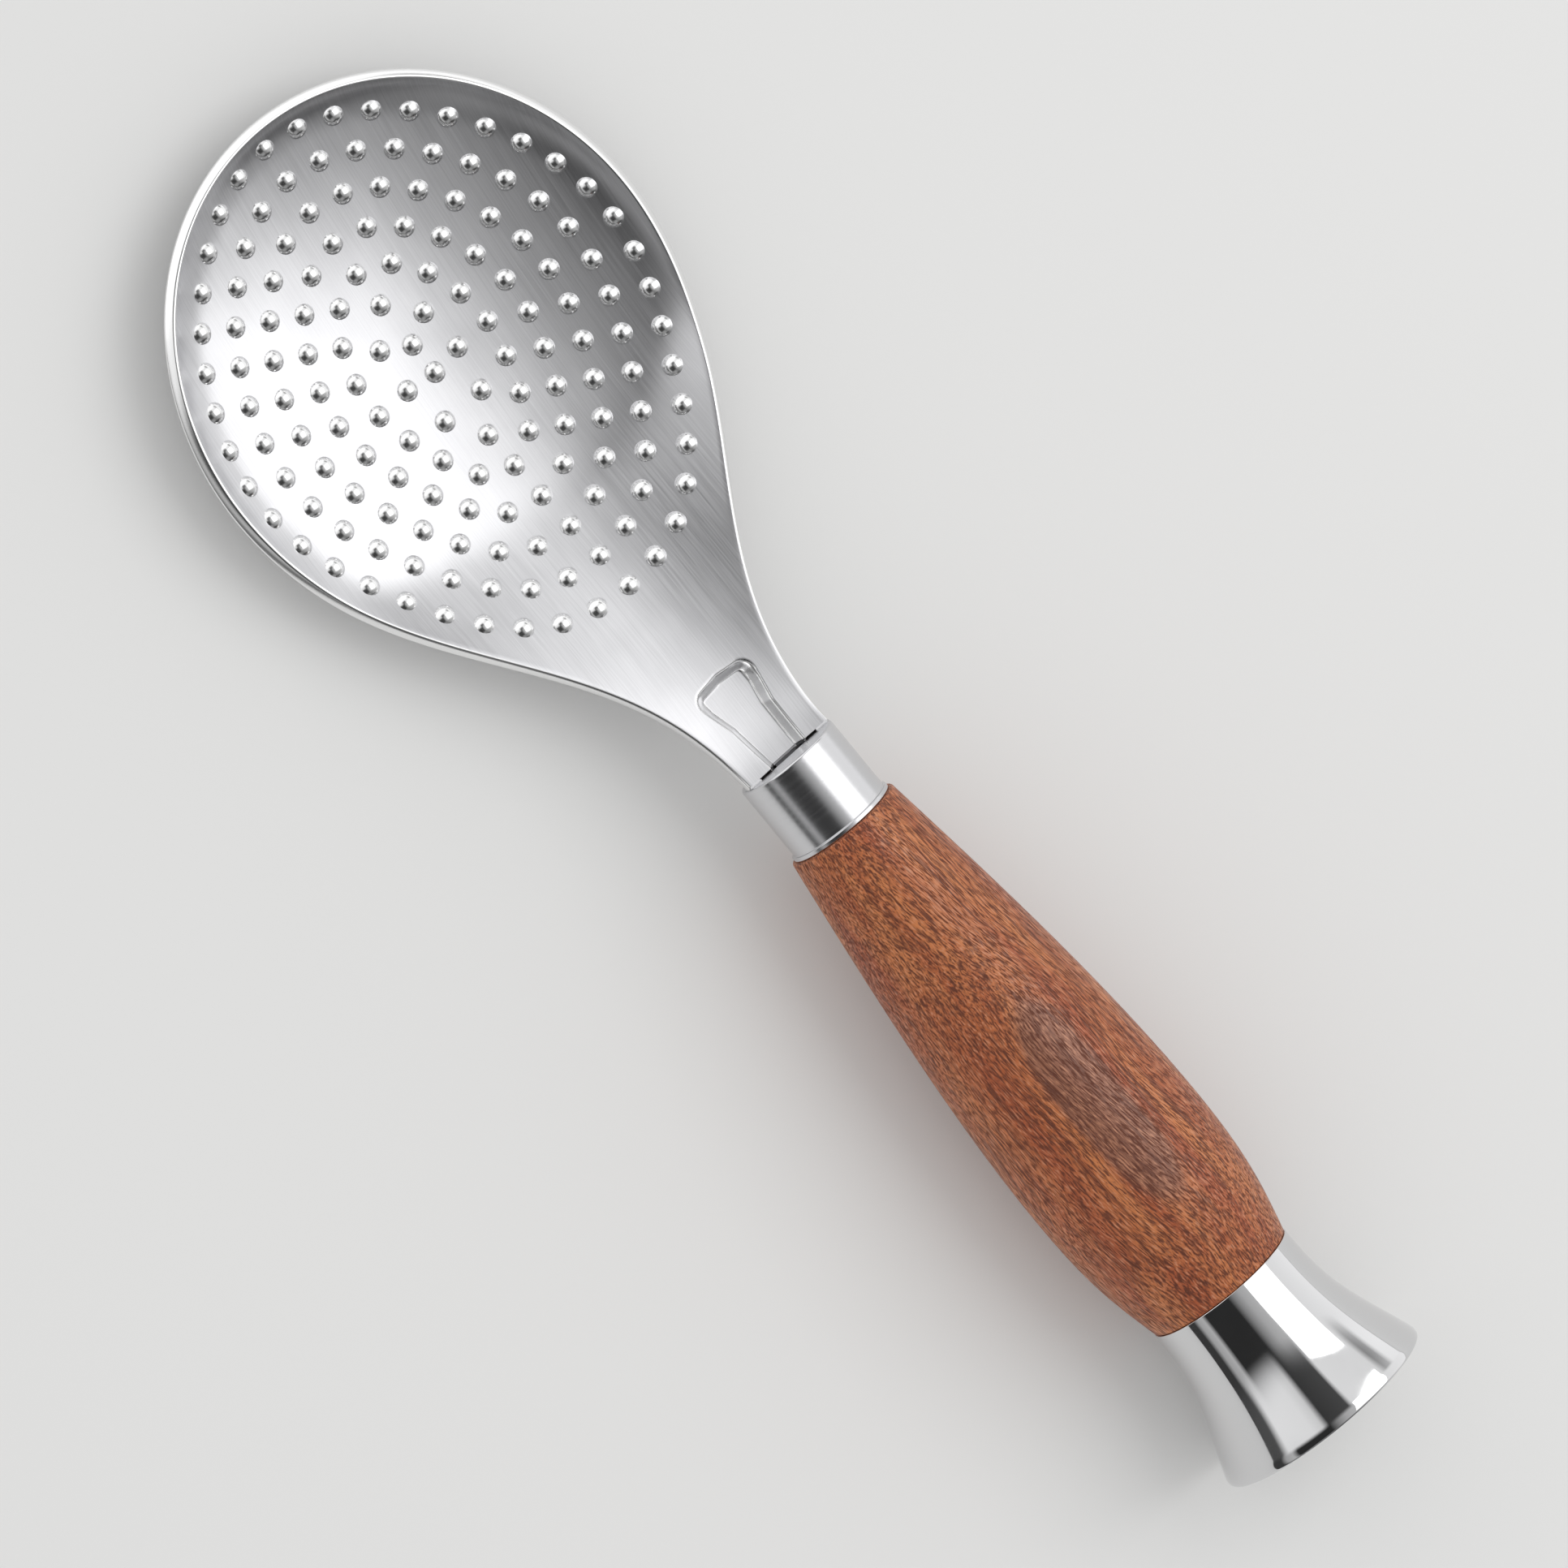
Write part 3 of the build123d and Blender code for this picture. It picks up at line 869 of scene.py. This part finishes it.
def mirror_stainless():
    """Deep-drawn stainless shell, mirror polished: sharp reflections with a trace of handling marks."""
    material, output = new_material("mirror_stainless_cap")
    tree = material.node_tree
    marks = add_node(tree, "ShaderNodeTexNoise", {
        "Vector": stretched(tree, handling_mark_size), "Scale": 1, "Detail": 4, "Roughness": 0.6,
    })
    rough = add_node(tree, "ShaderNodeMapRange", {
        "Value": marks.outputs["Fac"],
        "From Min": handling_mark_levels[0], "From Max": handling_mark_levels[1],
        "To Min": cap_roughness[0], "To Max": cap_roughness[1],
    })
    shader = add_node(tree, "ShaderNodeBsdfPrincipled", {
        "Base Color": linear_colour("#DADADB"), "Metallic": 1.0, "Roughness": rough.outputs[0],
    })
    tree.links.new(shader.outputs[0], output.inputs[0])
    return material


def plain_steel():
    """Plain turned steel, cut and left as it is: an even grey sheen with faint tool marks."""
    material, output = new_material("plain_turned_steel")
    tree = material.node_tree
    marks = add_node(tree, "ShaderNodeTexNoise", {
        "Vector": stretched(tree, tool_mark_size), "Scale": 1, "Detail": 2,
    })
    rough = add_node(tree, "ShaderNodeMapRange", {
        "Value": marks.outputs["Fac"], "To Min": plain_roughness[0], "To Max": plain_roughness[1],
    })
    shader = add_node(tree, "ShaderNodeBsdfPrincipled", {
        "Base Color": linear_colour("#A9A9AB"), "Metallic": 1.0, "Roughness": rough.outputs[0],
    })
    tree.links.new(shader.outputs[0], output.inputs[0])
    return material


# Sizes of the wood's grain in millimetres, with the figure's middle and half lengths, and turns in
# degrees about the upward axis
grain_drift = (0, 6, 6)
drift_size = (34, 18, 18)
pore_size = (1.5, 0.2, 0.2)
pore_turn = -8
pore_depth = 0.06
line_size = (14, 0.34, 0.34)
line_turn = -3
band_size = (60, 3, 3)
figure_centre = (front - 58.5, 0.7, axis_height + 13.0)
figure_half = (18, 4.6, 9)

# Levels of the wood's patterns at which a mark sets in and is full, and how much of it shows then
pore_levels = (0.49, 0.4)
# The pale flecks between the pores are painted highlights, glints of the lamp put into the wood's colour.
glint_levels = (0.56, 0.68)
line_levels = (0.52, 0.38)
band_levels = (0.35, 0.65)
figure_levels = (1.05, 0.8)
pore_strength = 0.85
glint_strength = 0.7
line_strength = 0.85
figure_strength = 0.85
wood_roughness = (0.36, 0.7)


def oiled_rosewood(finish):
    """Rosewood, turned, sanded and oiled: open dark pores along the grain under a soft satin sheen."""
    material, output = new_material("oiled_rosewood")
    tree = material.node_tree
    # The grain wanders a few millimetres to either side over the length of the grip.
    place = add_node(tree, "ShaderNodeTexCoord").outputs["Object"]
    drift = add_node(tree, "ShaderNodeTexNoise", {
        "Vector": stretched(tree, drift_size), "Scale": 1, "Detail": 1,
    })
    drift = add_node(tree, "ShaderNodeVectorMath", {
        0: drift.outputs["Color"], 1: (0.5, 0.5, 0.5),
    }, operation="SUBTRACT")
    drift = add_node(tree, "ShaderNodeVectorMath", {
        0: drift.outputs[0], 1: [each * MM for each in grain_drift],
    }, operation="MULTIPLY")
    grain = add_node(tree, "ShaderNodeVectorMath", {
        0: place, 1: drift.outputs[0],
    }, operation="ADD").outputs[0]
    # Short narrow pores with pale painted highlights between them, and longer vessel lines along the grain.
    pores = add_node(tree, "ShaderNodeTexNoise", {
        "Vector": stretched(tree, pore_size, turned=pore_turn, start=grain),
        "Scale": 1, "Detail": 2, "Roughness": 0.5,
    })
    pore_mask = add_node(tree, "ShaderNodeMapRange", {
        "Value": pores.outputs["Fac"], "From Min": pore_levels[0], "From Max": pore_levels[1],
    })
    # Painted highlights: pale flecks where the pore pattern is highest.
    glint_mask = add_node(tree, "ShaderNodeMapRange", {
        "Value": pores.outputs["Fac"], "From Min": glint_levels[0], "From Max": glint_levels[1],
        "To Max": glint_strength,
    })
    lines = add_node(tree, "ShaderNodeTexNoise", {
        "Vector": stretched(tree, line_size, turned=line_turn, start=grain),
        "Scale": 1, "Detail": 3, "Roughness": 0.65,
    })
    line_mask = add_node(tree, "ShaderNodeMapRange", {
        "Value": lines.outputs["Fac"], "From Min": line_levels[0], "From Max": line_levels[1],
        "To Max": line_strength,
    })
    # The turned belly cuts through one darker growth layer, in a long closed figure beside the middle.
    figure = add_node(tree, "ShaderNodeVectorMath", {
        0: grain, 1: [each * MM for each in figure_centre],
    }, operation="SUBTRACT")
    figure = add_node(tree, "ShaderNodeVectorMath", {
        0: figure.outputs[0], 1: [1 / (each * MM) for each in figure_half],
    }, operation="MULTIPLY")
    figure = add_node(tree, "ShaderNodeVectorMath", {0: figure.outputs[0]}, operation="LENGTH")
    figure = add_node(tree, "ShaderNodeMapRange", {
        "Value": figure.outputs["Value"], "From Min": figure_levels[0], "From Max": figure_levels[1],
        "To Max": figure_strength,
    }, interpolation_type="SMOOTHSTEP")
    # Broad bands of slightly redder and yellower wood.
    bands = add_node(tree, "ShaderNodeTexNoise", {
        "Vector": stretched(tree, band_size, start=grain), "Scale": 1, "Detail": 2,
    })
    bands = add_node(tree, "ShaderNodeMapRange", {
        "Value": bands.outputs["Fac"], "From Min": band_levels[0], "From Max": band_levels[1],
    })
    ground = add_node(tree, "ShaderNodeMix", {
        0: bands.outputs[0], 6: list(finish.wood), 7: linear_colour("#A9552E"),
    }, data_type="RGBA")
    ground = add_node(tree, "ShaderNodeMix", {
        0: figure.outputs[0], 6: ground.outputs[2], 7: linear_colour("#8C5E4A"),
    }, data_type="RGBA")
    # Mixes the pale painted highlights into the wood's colour.
    ground = add_node(tree, "ShaderNodeMix", {
        0: glint_mask.outputs[0], 6: ground.outputs[2], 7: linear_colour("#CF9270"),
    }, data_type="RGBA")
    lined = add_node(tree, "ShaderNodeMix", {
        0: line_mask.outputs[0], 6: ground.outputs[2], 7: list(finish.pores),
    }, data_type="RGBA")
    pored = add_node(tree, "ShaderNodeMath", {
        0: pore_mask.outputs[0], 1: pore_strength,
    }, operation="MULTIPLY")
    colour = add_node(tree, "ShaderNodeMix", {
        0: pored.outputs[0], 6: lined.outputs[2], 7: list(finish.pores),
    }, data_type="RGBA")
    rough = add_node(tree, "ShaderNodeMapRange", {
        "Value": pore_mask.outputs[0], "To Min": wood_roughness[0], "To Max": wood_roughness[1],
    })
    bump = add_node(tree, "ShaderNodeBump", {
        "Height": pore_mask.outputs[0], "Strength": 0.6, "Distance": pore_depth * MM,
    }, invert=True)
    shader = add_node(tree, "ShaderNodeBsdfPrincipled", {
        "Base Color": colour.outputs[2], "Roughness": rough.outputs[0], "Normal": bump.outputs[0],
    })
    tree.links.new(shader.outputs[0], output.inputs[0])
    return material


def matte_floor(finish):
    """Pale seamless paper: even and matte."""
    material, output = new_material("pale_paper_floor")
    shader = add_node(material.node_tree, "ShaderNodeBsdfPrincipled", {
        "Base Color": list(finish.floor), "Roughness": 0.9, "Specular IOR Level": 0.1,
    })
    material.node_tree.links.new(shader.outputs[0], output.inputs[0])
    return material


# Stage

# The photograph's frame is 1932 pixels wide, and a millimetre at the handle's axis is 9.55 pixels.
# Its centre looks at a place just behind the collar's front face.
frame_pixels = 1932
pixels_per_mm = 9.55
sensor_width = 36.0
camera_distance = 2500.0
look_at = (-2.62, 2.56, 0.0)
tipward = Vector((0.9857, -0.0413, -0.1633))
sideward = Vector((0.0, 0.9694, -0.2453))
tip_in_frame = (-0.6361, 0.7716)
side_in_frame = (-0.7716, -0.6361)
clip_end = 10

# The floor is a square of this width in metres, this many millimetres under the paddle.
floor_width = 6
floor_gap = 0.05

# The lamp's place and size are in metres and its power in watts. The metal mirrors long screens that
# run beside the handle's axis, each given by angles from overhead, with the paddle's left positive, and
# by its brightness there. They change over zones of the direction's share along the axis.
key_place = (-0.04, -0.56, 0.92)
key_size = 0.85
key_power = 2.9
world_level = 0.75
middle_screens = [
    (-90, 1.1), (-50, 0.95), (-25, 0.75), (2, 0.5), (12, 0.28), (20, 0.03), (60, 0.03), (66, 0.55),
    (74, 0.45), (80, 0.05),
]
flare_zone = (0.16, 0.46)
flare_screens = [
    (-88, 1.3), (-77, 1.2), (-71, 0.1), (-64, 0.1), (-57, 0.9), (-12, 0.95), (-7, 0.08), (20, 0.05),
    (27, 0.8), (38, 0.95), (70, 1.0), (78, 0.1),
]
tip_zone = (0.56, 0.7)
tip_screens = [(-84, 1.3), (0, 1.2), (70, 1.3)]
tail_zone = (-0.42, -0.62)
tail_screens = [(-88, 0.7), (-60, 0.5), (-22, 0.38), (12, 0.18), (34, 0.3), (60, 0.3), (78, 0.1)]
tail_end_zone = (-0.82, -0.93)
tail_end_screens = [(-80, 0.05), (60, 0.03)]


class SetStage(bpy.types.Operator):
    """Sets the floor, the lamps, the world and the camera"""

    bl_idname = "rice_paddle.stage"
    bl_label = "Stage"

    def execute(self, context):
        self.lay_floor(context.scene.paddle_finish)
        self.hang_lamps()
        self.set_world(context.scene)
        self.aim_camera(context.scene)
        context.scene.view_settings.view_transform = "Standard"
        return {"FINISHED"}

    def lay_floor(self, finish):
        """Lays the pale floor just under the paddle."""
        deselect()
        height = cad_box[0][2] - floor_gap * MM
        bpy.ops.mesh.primitive_plane_add(size=floor_width, location=(0, 0, height))
        floor = name_new("floor")
        bpy.ops.object.transform_apply(location=True, rotation=True, scale=True)
        floor.data.materials.append(matte_floor(finish))

    def hang_lamps(self):
        """Hangs one large soft lamp over the paddle's right side."""
        light = bpy.data.lights.new("key", "AREA")
        light.shape = "RECTANGLE"
        light.size, light.size_y, light.energy = key_size, key_size, key_power
        lamp = bpy.data.objects.new("key", light)
        lamp.location = key_place
        lamp.rotation_euler = Vector(key_place).to_track_quat("Z", "Y").to_euler()
        bpy.context.scene.collection.objects.link(lamp)

    def set_world(self, scene):
        """Lights the scene evenly, and gives the metal long pale and dark screens to mirror."""
        world = bpy.data.worlds.new("studio")
        scene.world = world
        world.use_nodes = True
        tree = world.node_tree
        tree.nodes.clear()
        direction = add_node(tree, "ShaderNodeTexCoord").outputs["Generated"]
        parts = add_node(tree, "ShaderNodeSeparateXYZ", {0: direction})
        angle = add_node(tree, "ShaderNodeMath", {
            0: parts.outputs["Y"], 1: parts.outputs["Z"],
        }, operation="ARCTAN2")
        across = add_node(tree, "ShaderNodeMapRange", {
            "Value": angle.outputs[0], "From Min": -pi / 2, "From Max": pi / 2,
        }).outputs[0]
        colour = self.screens(tree, across, middle_screens)
        zones = [(flare_zone, flare_screens), (tip_zone, tip_screens)]
        zones += [(tail_zone, tail_screens), (tail_end_zone, tail_end_screens)]
        for (start, end), stops in zones:
            share = add_node(tree, "ShaderNodeMapRange", {
                "Value": parts.outputs["X"], "From Min": start, "From Max": end,
            }, interpolation_type="SMOOTHSTEP").outputs[0]
            colour = add_node(tree, "ShaderNodeMix", {
                0: share, 6: colour, 7: self.screens(tree, across, stops),
            }, data_type="RGBA").outputs[2]
        glossy = add_node(tree, "ShaderNodeLightPath").outputs["Is Glossy Ray"]
        colour = add_node(tree, "ShaderNodeMix", {
            0: glossy, 6: [world_level] * 3 + [1], 7: colour,
        }, data_type="RGBA")
        background = add_node(tree, "ShaderNodeBackground", {"Color": colour.outputs[2], "Strength": 1.0})
        output = add_node(tree, "ShaderNodeOutputWorld")
        tree.links.new(background.outputs[0], output.inputs[0])

    def screens(self, tree, across, stops):
        """Brightness of the screens over the angle across the handle's axis."""
        ramp = add_node(tree, "ShaderNodeValToRGB", {0: across})
        while len(ramp.color_ramp.elements) < len(stops):
            ramp.color_ramp.elements.new(0.5)
        for element, (degrees, brightness) in zip(ramp.color_ramp.elements, stops):
            element.position = 0.5 + degrees / 180
            element.color = (brightness, brightness, brightness, 1)
        return ramp.outputs[0]

    def aim_camera(self, scene):
        """Sets a long lens at the photograph's viewing angle."""
        right = tip_in_frame[0] * tipward + side_in_frame[0] * sideward
        up = tip_in_frame[1] * tipward + side_in_frame[1] * sideward
        back = right.cross(up).normalized()
        target = Vector((front + look_at[0], look_at[1], axis_height + look_at[2])) * MM
        data = bpy.data.cameras.new("camera")
        data.sensor_width = sensor_width
        data.lens = sensor_width * pixels_per_mm * camera_distance / frame_pixels
        data.clip_end = clip_end
        camera = bpy.data.objects.new("camera", data)
        axes = (right.normalized(), back.cross(right).normalized(), back)
        turn_matrix = Matrix(axes).transposed().to_4x4()
        camera.matrix_world = Matrix.Translation(target + back * camera_distance * MM) @ turn_matrix
        scene.collection.objects.link(camera)
        scene.camera = camera


class PaddlePanel(bpy.types.Panel):
    """Lists the paddle's pieces and finishes in the sidebar"""

    bl_idname = "VIEW3D_PT_rice_paddle"
    bl_label = "Rice paddle"
    bl_space_type = "VIEW_3D"
    bl_region_type = "UI"
    bl_category = "Rice paddle"

    def draw(self, context):
        for operator in piece_operators:
            self.layout.operator(operator.bl_idname)
        for group in (context.scene.paddle_sizes, context.scene.paddle_finish):
            for name in group.__annotations__:
                self.layout.prop(group, name)


piece_operators = (BuildBlade, TurnCollar, TurnGrip, TurnCap, FinishFasteners, SetStage)
classes = (PaddleSizes, PaddleFinish, *piece_operators, PaddlePanel)


def register():
    for each in classes:
        bpy.utils.register_class(each)
    bpy.types.Scene.paddle_sizes = PointerProperty(type=PaddleSizes)
    bpy.types.Scene.paddle_finish = PointerProperty(type=PaddleFinish)


def unregister():
    del bpy.types.Scene.paddle_finish
    del bpy.types.Scene.paddle_sizes
    for each in reversed(classes):
        bpy.utils.unregister_class(each)


def main():
    register()
    for operator in piece_operators:
        group, name = operator.bl_idname.split(".")
        getattr(getattr(bpy.ops, group), name)()
    deselect()


if __name__ == "__main__":
    main()
